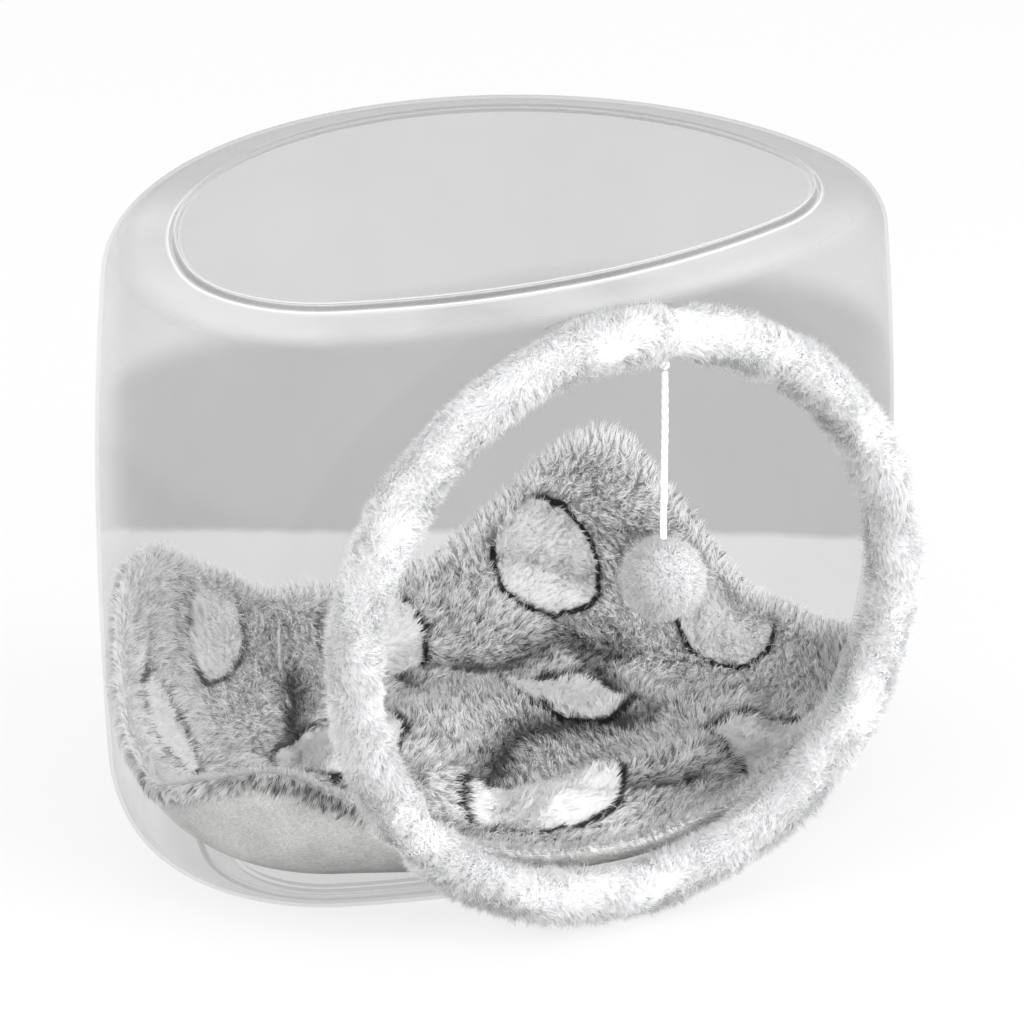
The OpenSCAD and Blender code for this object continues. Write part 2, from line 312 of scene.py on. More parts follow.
capsule = {
    "width": 0.430, "depth": 0.330, "height": 0.338, "wall": 0.002,
    "backPlace": 0.18075,
    "frontRadius": 0.410, "cornerRadius": 0.113,
    "bellyShare": 0.56, "topLean": 0.007, "baseLean": 0.007,
    "shoulder": 0.018, "baseRadius": 0.044,
    "panelInset": 0.040, "footInset": 0.062, "step": 0.004, "stepRun": 0.002, "stepEase": 0.0012,
    "panelMiddle": 0.014,
    "mouthRadius": 0.153, "mouthHeight": 0.170, "lipPlace": -0.16275,
    "flareTop": 0.1600, "flareSide": 0.0100,
    "frontSteps": 74, "cornerSteps": 42, "backSteps": 104, "wallSteps": 54,
    "baseSteps": 17, "shoulderSteps": 13, "footEdgeRows": 9, "panelEdgeRows": 11,
    "filletSteps": 9, "neckSteps": 6, "lipSteps": 7,
    # insets of the other rows of the foot, the base, the shoulder and the top panel, and how far
    # out the rows of the flat middles lie
    "footRows": (0.074, 0.069), "baseRows": (0.057, 0.052, 0.048),
    "topRows": (0.028, 0.032, 0.0355, 0.0375), "panelRows": (0.0455, 0.050),
    "middleShares": (0.0, 0.25, 0.5, 0.75, 0.93),
}


# Plan: a front arc, two corner arcs and a back arc, all tangent. Every station is a centre, a
# radius and a direction, so that the outline at any inset is centre + (radius - inset) * direction
def planStations(c):
    frontPlace = c["backPlace"] - c["depth"]
    frontCentre = frontPlace + c["frontRadius"]
    cornerX = c["width"] / 2 - c["cornerRadius"]
    cornerY = frontCentre - math.sqrt((c["frontRadius"] - c["cornerRadius"]) ** 2 - cornerX ** 2)
    gap = c["backPlace"] - cornerY
    backRadius = (cornerX ** 2 + gap ** 2 - c["cornerRadius"] ** 2) / (2 * (gap - c["cornerRadius"]))
    backCentre = c["backPlace"] - backRadius
    frontHalf = math.atan2(cornerX, frontCentre - cornerY)
    backHalf = math.atan2(cornerX, cornerY - backCentre)
    sweep = math.pi - frontHalf - backHalf
    parts = [(0, frontCentre, c["frontRadius"], -math.pi / 2 - frontHalf, 2 * frontHalf, c["frontSteps"]),
             (cornerX, cornerY, c["cornerRadius"], frontHalf - math.pi / 2, sweep, c["cornerSteps"]),
             (0, backCentre, backRadius, math.pi / 2 - backHalf, 2 * backHalf, c["backSteps"]),
             (-cornerX, cornerY, c["cornerRadius"], math.pi / 2 + backHalf, sweep, c["cornerSteps"])]
    stations = np.concatenate([np.stack([np.full(n, x), np.full(n, y), np.full(n, r),
                                         start + turn * np.arange(n) / n], 1)
                               for x, y, r, start, turn, n in parts])
    shape = {"frontCentre": frontCentre, "cornerX": cornerX, "cornerY": cornerY, "frontHalf": frontHalf,
             "frontPlace": frontPlace}
    return stations, shape


def outline(stations, inset):
    reach = stations[:, 2] - inset
    return stations[:, 0] + reach * np.cos(stations[:, 3]), stations[:, 1] + reach * np.sin(stations[:, 3])


# The wall leans in by lean * (distance from the belly, as a share of the way) squared
def lean(c, z):
    belly = c["height"] * c["bellyShare"]
    above = c["topLean"] * ((z - belly) / (c["height"] - belly)) ** 2
    below = c["baseLean"] * ((belly - z) / belly) ** 2
    return np.where(z > belly, above, below)


# Side profile for the skin that lies t inside the outer one, as rows of inset, height, how much
# the row is an edge of a moulded step and how much it is the face of one
def sideRows(c, t):
    z0, z1 = c["step"] + c["baseRadius"], c["height"] - c["step"] - c["shoulder"]
    land, top = c["step"] + t, c["height"] - c["step"] - t

    def stepRows(inset, base, count):
        low, high = inset - c["stepEase"], inset + c["stepRun"] + c["stepEase"]
        rows = []
        for i in np.linspace(low, high, count):
            share = (i - low) / (high - low)
            edge = math.exp(-((abs(share - 0.5) - 0.42) / 0.1) ** 2)
            rows.append((i + t, base(float(ease(share))), edge, math.exp(-((share - 0.5) / 0.28) ** 2)))
        return rows

    rows = [(i + t, t, 0, 0) for i in c["footRows"]]
    rows += stepRows(c["footInset"], lambda share: land - c["step"] * share, c["footEdgeRows"])[::-1]
    rows += [(i + t, land, 0, 0) for i in c["baseRows"]]
    r = c["baseRadius"] - t
    for a in np.linspace(0, math.pi / 2, c["baseSteps"]):
        z = z0 - r * math.cos(a)
        rows.append((t + float(lean(c, z)) + r * (1 - math.sin(a)), z, 0, 0))
    for z in np.linspace(z0, z1, c["wallSteps"] + 1)[1:-1]:
        rows.append((t + float(lean(c, z)), z, 0, 0))
    r = c["shoulder"] - t
    for a in np.linspace(0, math.pi / 2, c["shoulderSteps"]):
        z = z1 + r * math.sin(a)
        rows.append((t + float(lean(c, z)) + r * (1 - math.cos(a)), z, 0, 0))
    rows += [(i + t, top, 0, 0) for i in c["topRows"]]
    rows += stepRows(c["panelInset"], lambda share: top + c["step"] * share, c["panelEdgeRows"])
    rows += [(i + t, c["height"] - t, 0, 0) for i in c["panelRows"]]
    return np.array(rows)


# Front face as a height over the mouth's plane: inset at z, then y of the arc that x falls on
def frontFace(c, shape, x, z, t):
    z0, z1 = c["step"] + c["baseRadius"], c["height"] - c["step"] - c["shoulder"]
    rb, rs = c["baseRadius"] - t, c["shoulder"] - t
    inset = t + lean(c, z)
    inset = inset + np.where(z < z0, rb - np.sqrt(np.maximum(rb ** 2 - (z0 - z) ** 2, 0)), 0)
    inset = inset + np.where(z > z1, rs - np.sqrt(np.maximum(rs ** 2 - (z - z1) ** 2, 0)), 0)
    reach = c["frontRadius"] - inset
    middle = shape["frontCentre"] - np.sqrt(np.maximum(reach ** 2 - x ** 2, 0))
    aside = shape["cornerY"] - np.sqrt(np.maximum((c["cornerRadius"] - inset) ** 2
                                                  - (np.abs(x) - shape["cornerX"]) ** 2, 0))
    return np.where(np.abs(x) < reach * math.sin(shape["frontHalf"]), middle, aside)


# One skin as a grid: outline of the plan at each row's inset, shrinking to a pole at both ends
def capsuleSkin(c, stations, t):
    rows = sideRows(c, t)
    shares = np.array(c["middleShares"])
    flat = np.zeros(len(shares))
    insets = np.concatenate([flat + rows[0, 0], rows[:, 0], flat + rows[-1, 0]])
    heights = np.concatenate([flat + rows[0, 1], rows[:, 1], flat + rows[-1, 1]])
    draw = np.concatenate([shares, np.ones(len(rows)), shares[::-1]])
    unmarked = np.zeros((len(shares), 2))
    marks = np.concatenate([unmarked, rows[:, 2:], unmarked])
    x, y = outline(stations, insets[:, None])
    middle = c["panelMiddle"]
    draw = draw[:, None]
    grid = np.stack([x * draw, middle + (y - middle) * draw, heights[:, None] + 0 * x], -1)
    return grid, np.repeat(marks[:, None], len(stations), 1)


# Both skins with the mouth left out, and a band through flare, neck and lip between their rims
def makeCapsule(c):
    stations, shape = planStations(c)
    columns = len(stations)
    mz, wall = c["mouthHeight"], c["wall"]

    def flareRadius(turn):
        return c["flareTop"] + c["flareSide"] * np.sin(turn) ** 2

    outerGrid, marks = capsuleSkin(c, stations, 0.0)
    innerGrid = capsuleSkin(c, stations, wall)[0]
    outer, inner, marks = poled(outerGrid), poled(innerGrid), poled(marks)
    quads, fans = poledFaces(len(outerGrid), columns)
    turn = np.arctan2(outer[:, 0], outer[:, 2] - mz)
    inMouth = (np.hypot(outer[:, 0], outer[:, 2] - mz) < flareRadius(turn)) & (outer[:, 1] < 0)
    inMouth &= (outer[:, 2] > c["step"] * 1.5) & (outer[:, 2] < c["height"] - c["step"] * 1.5)
    kept = quads[~inMouth[quads].all(1)]
    used = np.zeros(len(outer), bool)
    used[kept.ravel()] = True
    loop = np.flatnonzero(inMouth & used)
    turns = []
    for skin, t in ((outer, 0.0), (inner, wall)):
        turn = np.arctan2(skin[loop, 0], skin[loop, 2] - mz)
        radius = flareRadius(turn)
        x, z = radius * np.sin(turn), mz + radius * np.cos(turn)
        skin[loop] = np.stack([x, frontFace(c, shape, x, z, t), z], 1)
        turns.append(turn)
    order = np.argsort(turns[0])
    loop, outerTurn, innerTurn = loop[order], turns[0][order], np.sort(turns[1][order])
    neckOut, neckIn = c["mouthRadius"] + wall / 2, c["mouthRadius"] - wall / 2

    # Fillet: quarter of an ellipse from the front face, where beta is 0, to the neck
    def flareRow(beta, turn, neckRadius, t):
        radius = neckRadius + (flareRadius(turn) - neckRadius) * (1 - math.sin(beta))
        x, z = radius * np.sin(turn), mz + radius * np.cos(turn)
        drop = (flareRadius(turn) - neckOut + t) * (1 - math.cos(beta))
        return np.stack([x, frontFace(c, shape, x, z, t) - drop, z], 1)

    def neckRow(radius, y, turn):
        return np.stack([radius * np.sin(turn), y + 0 * turn, mz + radius * np.cos(turn)], 1)

    betas, neckShares = np.linspace(0, math.pi / 2, c["filletSteps"]), np.linspace(0, 1, c["neckSteps"])
    strips = [flareRow(beta, outerTurn, neckOut, 0.0) for beta in betas[1:]]
    root, lipBack = strips[-1][:, 1], c["lipPlace"] + wall / 2
    strips += [neckRow(neckOut, root + (lipBack - root) * share, outerTurn) for share in neckShares[1:]]
    for share in np.linspace(0, 1, c["lipSteps"])[1:-1]:
        around = outerTurn * (1 - share) + innerTurn * share
        strips.append(neckRow(c["mouthRadius"] + wall / 2 * math.cos(share * math.pi),
                              lipBack - wall / 2 * math.sin(share * math.pi), around))
    back = [flareRow(beta, innerTurn, neckIn, wall) for beta in betas[:0:-1]]
    root = back[0][:, 1]
    strips += [neckRow(neckIn, lipBack + (root - lipBack) * share, innerTurn) for share in neckShares[:-1]]
    strip = np.concatenate(strips + back)

    count, band = len(outer), len(loop)
    between = 2 * count + np.arange(len(strip)).reshape(-1, band)
    ids = np.concatenate([loop[None], between, (loop + count)[None]])
    after = np.roll(ids, -1, axis=1)
    joint = np.stack([ids[:-1], ids[1:], after[1:], after[:-1]], -1).reshape(-1, 4)
    faces = np.concatenate([kept, kept[:, ::-1] + count, joint])
    fans = np.concatenate([fans, fans[:, ::-1] + count])
    points = np.concatenate([outer, inner, strip])
    fillet = np.linspace(0, 1, c["filletSteps"])[1:] ** 3
    rows = np.concatenate([fillet, np.ones(len(strips) - len(fillet)), fillet[::-1]])
    onNeck = np.concatenate([np.zeros(2 * count), np.repeat(rows, band)])
    marks = np.concatenate([marks, marks, np.zeros((len(strip), 2))])
    live = np.zeros(len(points), bool)
    live[faces.ravel()] = live[fans.ravel()] = True
    number = np.cumsum(live) - 1
    # stepEdge carries painted highlight lines along the step edges, stepFace a painted shaded band on the
    # step faces, and neck a painted highlight band on the flare
    piece = meshPiece("capsule_shell", points[live], [number[faces], number[fans]],
                      {"stepEdge": marks[live, 0], "stepFace": marks[live, 1], "neck": onNeck[live]})
    print("capsule shell:", len(faces) * 2 + len(fans), "triangles")
    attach(piece, "capsule")
    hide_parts("shell")
    return piece


capsuleShell = makeCapsule(capsule)


# One value from 0 to 1 for each cell: what is left of a large sine after its whole part
def hashed(cell, salt):
    v = np.sin(cell[..., 0] * 127.1 + cell[..., 1] * 311.7 + salt * 74.7) * 43758.5453
    return v - np.floor(v)


# Pile of the fur fabrics. A strand is a strip of one quad and one triangle that rises from its
# root and bends over: middle = root + half the length along the normal and the lean, tip = middle
# + half the length along rise * normal + lean. Tips draw together towards a point that each small
# cell of the cloth has by itself. Strips lie with their broad side outwards, give or take. A
# strand's length is length * (0.65 to 1.35 at random) * (0.75 to 1.25 by its tuft) * share
def makePile(name, roots, normals, across, down, place, lean, share, settings, seed, values=None,
             body="capsule"):
    rng = np.random.default_rng(seed)
    n = len(roots)
    cell = np.floor(place / settings["tuft"])
    pull = np.stack([hashed(cell, 1), hashed(cell, 2)], 1) * 0.8 + 0.1
    toTuft = (cell + pull) * settings["tuft"] - place
    toTuft = toTuft * settings["gather"] * (0.5 + hashed(cell, 3))[:, None]
    scatter = (np.stack([hashed(cell, 4), hashed(cell, 5)], 1) - 0.5) * 2 * settings["scatter"]
    length = settings["length"] * (0.65 + 0.7 * rng.random(n)) * (0.75 + 0.5 * hashed(cell, 6)) * share
    flat = (across * toTuft[:, :1] + down * toTuft[:, 1:]) * 0.5
    side = (across * scatter[:, :1] + down * scatter[:, 1:] + lean
            + rng.normal(size=(n, 3)) * settings["loose"])
    direction = unit(normals * settings["rise"] + side)
    half = length[:, None] * 0.5
    middle = roots + half * unit(normals * (settings["rise"] + 0.5) + side * 0.6) + flat
    tips = middle + half * direction + flat
    width = settings["width"] * (0.7 + 0.6 * rng.random(n))[:, None] / 2
    turned = unit(unit(np.cross(direction, normals)) + settings["twist"] * rng.normal(size=(n, 3)))
    turned *= np.where((np.cross(turned, direction) * normals).sum(1) < 0, -1, 1)[:, None]
    points = np.stack([roots - turned * width, roots + turned * width,
                       middle - turned * width * 0.84, middle + turned * width * 0.84, tips], 1)
    stroke = hashed(np.floor(place / settings["stroke"]), 7)
    strand = {"strandShade": 0.25 * rng.random(n) + 0.75 * stroke, **(values or {})}
    pieces = []
    for part, start in enumerate(range(0, n, settings["perPiece"])):
        block = slice(start, min(start + settings["perPiece"], n))
        k = np.arange(block.stop - block.start) * 5
        attributes = {key: np.repeat(data[block], 5, axis=0) for key, data in strand.items()}
        attributes["alongStrand"] = np.tile([0, 0, 0.5, 0.5, 1.0], len(k))
        strips = [np.stack([k, k + 1, k + 3, k + 2], 1), np.stack([k + 2, k + 3, k + 4], 1)]
        piece = meshPiece(f"{name}_{part + 1}", points[block].reshape(-1, 3), strips, attributes)
        soft = np.repeat(unit(normals[block] + direction[block] * settings["soft"]), 5, axis=0)
        piece.data.normals_split_custom_set_from_vertices(soft.astype(np.float32))
        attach(piece, body)
        pieces.append(piece)
    return pieces


ring = {
    "radius": 0.153, "place": (0.0, -0.15875, 0.170),
    "core": 0.0098, "skin": 0.0010, "slot": 0.0016,
    "seams": (8.5, 231.0), "seamWidth": 2.2, "seamDepth": 0.02, "furWidth": 1.9, "furDepth": 0.62,
    "stitchPitch": 0.0042, "stitchSwing": 0.0012, "yarn": 0.00045,
    # waves of the tube's radius: height, how many go round, phase
    "waves": ((0.02, 3, 0.7), (0.015, 7, 2.1), (0.01, 17, 0.0)), "swell": 1.01, "least": 0.985,
    "turns": 360, "sides": 40,
    "strands": 190000,
    "pile": {"length": 0.0054, "tuft": 0.0036, "gather": 0.30, "scatter": 0.35, "loose": 0.26,
             "rise": 0.40, "width": 0.00032, "twist": 0.40, "soft": 0.24, "stroke": 0.0012,
             "perPiece": 63500},
}


# Angle in degrees from a seam, from -180 to 180
def fromSeam(turn, seam):
    return np.degrees(np.angle(np.exp(1j * (turn - math.radians(seam)))))


# Tube radius over the ring: small waves, drawn in at each seam by a bell curve
def ringShare(settings, turn):
    share = settings["swell"]
    for height, count, phase in settings["waves"]:
        share = share + height * np.sin(count * turn + phase)
    for seam in settings["seams"]:
        bell = np.exp(-(fromSeam(turn, seam) / settings["seamWidth"]) ** 2)
        share = share * (1 - settings["seamDepth"] * bell)
    return np.maximum(share, settings["least"])


# Point on the ring: turn counts clockwise from the top as seen from the front, and around
# counts from the outer side over the front, with the slot for the lip at the back
def ringPoint(settings, turn, around, r):
    x0, y0, z0 = settings["place"]
    out = settings["radius"] + r * np.cos(around)
    return np.stack([x0 + out * np.sin(turn), y0 - r * np.sin(around), z0 + out * np.cos(turn)], -1)


# Closing stitches: a yarn that goes once round the tube and swings to and fro across the seam
def makeStitches(settings):
    gap = 1.6 * settings["slot"] / settings["core"]
    around = np.linspace(-np.pi / 2 + gap, 3 * np.pi / 2 - gap, 220)
    r = (settings["core"] + settings["skin"]) * 0.99 + settings["yarn"]
    phase = around * r / settings["stitchPitch"] * 2 * np.pi
    swing = settings["stitchSwing"] / settings["radius"] * np.sin(phase)
    reach = r + settings["yarn"] * np.cos(2 * phase)
    pieces = []
    for number, seam in enumerate(settings["seams"]):
        line = ringPoint(settings, math.radians(seam) + swing, around, reach)
        piece = tube(f"ring_stitches_{number + 1}", line, settings["yarn"], 10, False)
        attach(piece, "ring")
        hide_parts("ring_seams")
        pieces.append(piece)
    return pieces


# Sleeve: two skins of the slit tube, joined at the slit. Its strands lean along the ring and
# round the tube by sums of waves, part at each seam and are short there
def makeRing(settings):
    turn = np.linspace(0, 2 * np.pi, settings["turns"], endpoint=False)
    gap = settings["slot"] / settings["core"]
    around = np.linspace(-np.pi / 2 + gap, 3 * np.pi / 2 - gap, settings["sides"])
    share = ringShare(settings, turn)[:, None]
    reach = settings["core"] + settings["skin"]
    outer = ringPoint(settings, turn[:, None], around[None, :], reach * share)
    inner = ringPoint(settings, turn[:, None], around[None, ::-1], settings["core"] * share)
    section = np.concatenate([outer, inner], 1)
    count = section.shape[1]
    quads = gridQuads(len(turn) + 1, count) % (len(turn) * count)
    piece = meshPiece("ring_sleeve", section.reshape(-1, 3), [quads[:, ::-1]])
    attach(piece, "ring")
    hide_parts("ring_plush_sleeve")

    rng = np.random.default_rng(11)
    n = settings["strands"]
    t = rng.random(n) * 2 * np.pi
    a = -np.pi / 2 + gap * 1.3 + rng.random(n) * (2 * np.pi - 2.6 * gap)
    roots = ringPoint(settings, t, a, reach * ringShare(settings, t))
    normals = unit(roots - ringPoint(settings, t, a, 0 * t))
    down = np.stack([np.cos(t), 0 * t, -np.sin(t)], 1)
    across = np.cross(normals, down)
    place = np.stack([a * reach, t * settings["radius"]], 1)
    sag = np.array([0, 0, -0.10])
    lean = (down * (0.55 * np.sin(5 * t + 1) + 0.4 * np.sin(19 * t + 2 * a))[:, None]
            + across * (0.5 * np.cos(11 * t + a) + 0.3 * np.sin(29 * t - 2 * a))[:, None] + sag)
    share = 1 + 0.16 * np.sin(9 * t + 2 * np.sin(a)) * np.sin(4 * t + a)
    for seam in settings["seams"]:
        off = fromSeam(t, seam)
        near = np.exp(-(off / 4.5) ** 2)
        lean = lean + down * (np.sign(off) * near)[:, None]
        share = share * (1 - settings["furDepth"] * np.exp(-(off / settings["furWidth"]) ** 2))
    pieces = makePile("ring_pile", roots, normals, across, down, place, lean, share, settings["pile"], 12,
                      body="ring")
    return piece, pieces


ringSleeve, ringPile = makeRing(ring)
ringStitches = makeStitches(ring)


ball = {
    "place": (0.02013, -0.15875, 0.1877), "radius": 0.0172,
    "rows": 48, "columns": 72,
    "strands": 36000,
    "pile": {"length": 0.0052, "tuft": 0.0030, "gather": 0.15, "scatter": 0.22, "loose": 0.35,
             "rise": 0.50, "width": 0.00026, "twist": 0.35, "soft": 0.12, "stroke": 0.0010,
             "perPiece": 60000},
}


# Ball with gentle dents: r = radius * (1 + small waves of the two angles)
def ballSurface(settings, polar, turn):
    r = settings["radius"] * (1 + 0.02 * np.sin(3 * polar + 1) * np.cos(2 * turn) * np.sin(polar)
                              + 0.015 * np.cos(4 * turn + polar) * np.sin(polar) ** 2)
    return np.stack([r * np.sin(polar) * np.cos(turn), r * np.sin(polar) * np.sin(turn),
                     r * np.cos(polar) * (1 + 0 * turn)], -1) + np.array(settings["place"])


# Cover from the ball's surface, and strands in even random directions that sag a little
def makeBall(settings):
    rows, columns = settings["rows"], settings["columns"]
    polar = np.linspace(0, np.pi, rows)[:, None]
    turn = np.linspace(0, 2 * np.pi, columns, endpoint=False)[None, :]
    quads, fans = poledFaces(rows, columns)
    points = poled(ballSurface(settings, polar, turn))
    piece = meshPiece("ball_cover", points, [quads[:, ::-1], fans[:, ::-1]])
    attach(piece, "toy")
    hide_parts("pompom_cover")
    rng = np.random.default_rng(21)
    n = settings["strands"]
    normals = unit(rng.normal(size=(n, 3)))
    polar, turn = np.arccos(normals[:, 2]), np.arctan2(normals[:, 1], normals[:, 0])
    roots = ballSurface(settings, polar, turn)
    across = np.stack([-np.sin(turn), np.cos(turn), 0 * turn], 1)
    down = np.cross(normals, across)
    place = np.stack([turn * np.sin(polar), polar], 1) * settings["radius"]
    lean = np.tile([0, 0, -0.18], (n, 1))
    pieces = makePile("ball_pile", roots, normals, across, down, place, lean, np.ones(n),
                      settings["pile"], 22, body="toy")
    return piece, pieces


ballCover, ballPile = makeBall(ball)
print("ring and ball made")


mat = {
    "gap": 0.0009, "climbGap": 0.0005, "fleece": 0.0020, "backing": 0.0016, "layerGap": 0.0002,
    "thick": 0.0148, "edgeThick": 0.0075, "edgeWay": 0.030, "edgeRound": 0.0045,
    "centre": (0.0, 0.01575), "rise": 0.140, "bend": 0.084, "baseLean": 0.007,
    # height of the rim and radius of the bend as shares of rise and bend, every 12 degrees from
    # the left through the front, the right and the back
    "rim": [0.50, 0.42, 0.60, 0.68, 0.54, 0.30, 0.21, 0.18, 0.17, 0.19, 0.25, 0.46, 0.57, 0.56, 0.48,
            0.42, 0.42, 0.66, 1.00, 0.92, 0.62, 0.44, 0.40, 0.40, 0.45, 0.60, 0.77, 0.90, 0.90, 0.75],
    "bendShares": [0.95, 0.97, 0.99, 1.00, 0.99, 0.90, 0.72, 0.56, 0.50, 0.50, 0.50, 0.58, 0.66, 0.70,
                   0.70, 0.70, 0.70, 0.70, 0.70, 0.70, 0.70, 0.70, 0.70, 0.72, 0.76, 0.80, 0.84, 0.88,
                   0.91, 0.93],
    # folds: from and to (x, y), height, half width
    "folds": [
        (-0.100, -0.001, 0.020, 0.059, 0.019, 0.030),
        (0.030, 0.019, 0.129, -0.010, 0.018, 0.024),
        (-0.020, -0.024, 0.094, -0.005, -0.012, 0.010),
        (0.000, -0.073, 0.099, -0.053, 0.017, 0.020),
        (-0.140, -0.060, -0.040, -0.030, 0.020, 0.022),
        (-0.120, -0.020, -0.060, 0.010, -0.010, 0.010),
        (0.020, 0.134, 0.060, 0.106, -0.010, 0.012),
        (0.060, 0.106, 0.120, 0.094, -0.010, 0.012),
        (-0.090, 0.050, -0.120, 0.110, -0.012, 0.014),
    ],
    # creases: points (x, y) along the line, depth, half width
    "creases": [
        ([(0.020, 0.134), (0.060, 0.112), (0.101, 0.118), (0.125, 0.085)], 0.011, 0.0080),
        ([(0.110, 0.115), (0.106, 0.060), (0.100, -0.001)], 0.008, 0.0055),
        ([(0.005, 0.130), (0.010, 0.100), (0.038, 0.090)], 0.010, 0.0075),
        ([(-0.020, -0.016), (0.025, 0.010), (0.092, 0.004)], 0.009, 0.0080),
        ([(0.008, -0.066), (0.045, -0.076), (0.085, -0.074)], 0.006, 0.0055),
        ([(-0.054, 0.134), (-0.075, 0.085), (-0.080, 0.060)], 0.009, 0.0080),
        ([(-0.150, 0.034), (-0.095, 0.036), (-0.085, -0.001)], 0.008, 0.0070),
    ],
    # rolled edge: how far in it reaches and how thick it adds, and the rim's least height with pile
    "rollWay": 0.009, "rollIn": 0.0016, "rollFrom": 0.05, "borderWay": 0.014, "combedWay": 0.008,
    "columns": 300, "coreRows": 24, "floorRows": 14, "climbRows": 44, "rimRows": 9,
    "strands": 240000, "rollStrands": 26000,
    "pile": {"length": 0.0060, "tuft": 0.0046, "gather": 0.42, "scatter": 0.34, "loose": 0.20,
             "rise": 0.42, "width": 0.00036, "twist": 0.35, "soft": 0.26, "stroke": 0.0015,
             "perPiece": 62500},
    "rollPile": {"length": 0.0052, "tuft": 0.0046, "gather": 0.30, "scatter": 0.12, "loose": 0.05,
                 "rise": 0.08, "width": 0.00036, "twist": 0.20, "soft": 0.10, "stroke": 0.0015,
                 "perPiece": 62500},
}


# Bell round the line from (x0, y0) to (x1, y1): exp(-(distance to the line / half width)^2)
def bell(x, y, x0, y0, x1, y1, wide):
    dx, dy = x1 - x0, y1 - y0
    share = np.clip(((x - x0) * dx + (y - y0) * dy) / (dx * dx + dy * dy), 0, 1)
    return np.exp(-(np.hypot(x - x0 - share * dx, y - y0 - share * dy) / wide) ** 2)


# Height of the folds at (x, y): the sum of height * bell
def foldHeight(settings, x, y):
    total = np.zeros(np.shape(x))
    for x0, y0, x1, y1, height, wide in settings["folds"]:
        total = total + height * bell(x, y, x0, y0, x1, y1, wide)
    return total


# How deep in a crease each (x, y) is: the largest bell, and the largest bell times its depth
def creaseShare(settings, x, y):
    share, depth = np.zeros(np.shape(x)), np.zeros(np.shape(x))
    for line, deep, wide in settings["creases"]:
        for start, end in zip(line[:-1], line[1:]):
            near = bell(x, y, *start, *end, wide)
            share, depth = np.maximum(share, near), np.maximum(depth, near * deep)
    return share, depth


# Value in each direction round the mat, smoothed between the shares on both sides of it
def aroundMat(angle, shares):
    step = 360 / len(shares)
    knots = np.arange(-2, len(shares) + 3) * step - 180
    fine = np.linspace(-204, 204, 1633)
    curve = np.interp(fine, knots, np.take(shares, np.arange(-2, len(shares) + 3), mode="wrap"))
    kernel = np.exp(-(np.arange(-30, 31) / 16.0) ** 2)
    return np.interp(angle, fine, np.convolve(curve, kernel / kernel.sum(), mode="same"))


# Underside of the mat as a grid of rows from its middle to its rim, with the way straight off it
# at each point, the share of the climb that is done and the distance left to the rim. It lies
# flat in the foot, steps up to the land and bends up the wall by an arc
def matGrid(c, settings):
    n = settings["columns"]
    plan = {**c, "frontSteps": int(n * 0.26), "cornerSteps": int(n * 0.15), "backSteps": int(n * 0.44)}
    stations = planStations(plan)[0]
    out = np.stack([np.cos(stations[:, 3]), np.sin(stations[:, 3])], 1)
    line = np.stack(outline(stations, 0.0), 1)
    centre = np.array(settings["centre"])
    angle = np.degrees(np.arctan2(line[:, 1] - centre[1], line[:, 0] - centre[0]))
    wall, gap, step = c["wall"], settings["gap"], c["step"]
    bend = settings["bend"] * aroundMat(angle, settings["bendShares"])
    bend = np.maximum(c["baseRadius"] - wall, bend) - gap
    rim = settings["rise"] * aroundMat(angle, settings["rim"]) + 0.0012 * np.sin(np.radians(angle) * 19)
    floor = step + wall + gap
    start = wall + settings["climbGap"] + gap + bend + settings["baseLean"]
    flat = np.maximum(start + 0.001, c["footInset"] + wall + 0.0006)
    inner = flat + 0.012
    grid, normals, share, left = [], [], [], []
    quarter = bend * np.pi / 2
    low = np.arccos(np.clip((floor + bend - rim) / bend, 0, 1))
    length = bend * low + np.maximum(0, rim - floor - bend)

    def row(points, heights, normal, done, rest):
        grid.append(np.stack([points[:, 0], points[:, 1], heights], 1))
        normals.append(normal)
        share.append(done)
        left.append(rest)

    up = np.tile([0.0, 0.0, 1.0], (len(line), 1))
    ring0 = line - out * inner[:, None]
    for s in np.linspace(0, 1, settings["coreRows"])[:-1]:
        row(centre + (ring0 - centre) * s, np.full(len(line), wall + gap), up, 0 * length, length + 0.05)
    for s in np.linspace(0, 1, settings["floorRows"])[:-1]:
        inset = inner + (start - inner) * s
        rise = 1 - ease((inset - flat) / 0.010)
        row(line - out * inset[:, None], wall + gap + step * rise, up, 0 * length, length + 0.02)
    climb = np.linspace(0, 1, settings["climbRows"])[:, None] * (length - settings["edgeRound"])[None]
    phi = np.linspace(0, np.pi / 2, settings["rimRows"] + 1)[1:, None]
    climb = np.concatenate([climb, length[None] - settings["edgeRound"] * (1 - np.sin(phi))])
    for way in climb:
        a = np.minimum(way / bend, np.pi / 2)
        z = floor + bend * (1 - np.cos(a)) + np.maximum(0, way - quarter)
        inset = wall + settings["climbGap"] + gap + bend * (1 - np.sin(a)) + lean(c, z)
        normal = np.concatenate([-out * np.sin(a)[:, None], np.cos(a)[:, None]], 1)
        row(line - out * inset[:, None], z, normal, way / length, length - way)
    return np.array(grid), np.array(normals), np.array(share), np.array(left)


# Normals of a closed-round grid from its two central differences, turned to the side of guide
def gridNormals(grid, guide):
    along = np.roll(grid, -1, axis=1) - np.roll(grid, 1, axis=1)
    normals = unit(np.cross(along, np.gradient(grid, axis=0)))
    normals *= np.where((normals * guide).sum(2, keepdims=True) < 0, -1, 1)
    normals[0] = guide[0]
    return normals


# At each root: the way outwards over the cloth, and the ways of the cloth's own x and y axes, which
# are outwards turned back by the angle of the place round the middle
def clothAxes(normals, gradient, place):
    outward = unit(gradient - normals * (gradient * normals).sum(1, keepdims=True))
    aside = np.cross(normals, outward)
    turn = np.arctan2(place[:, 1], place[:, 0])[:, None]
    across = outward * np.cos(turn) - aside * np.sin(turn)
    return outward, across, outward * np.sin(turn) + aside * np.cos(turn)


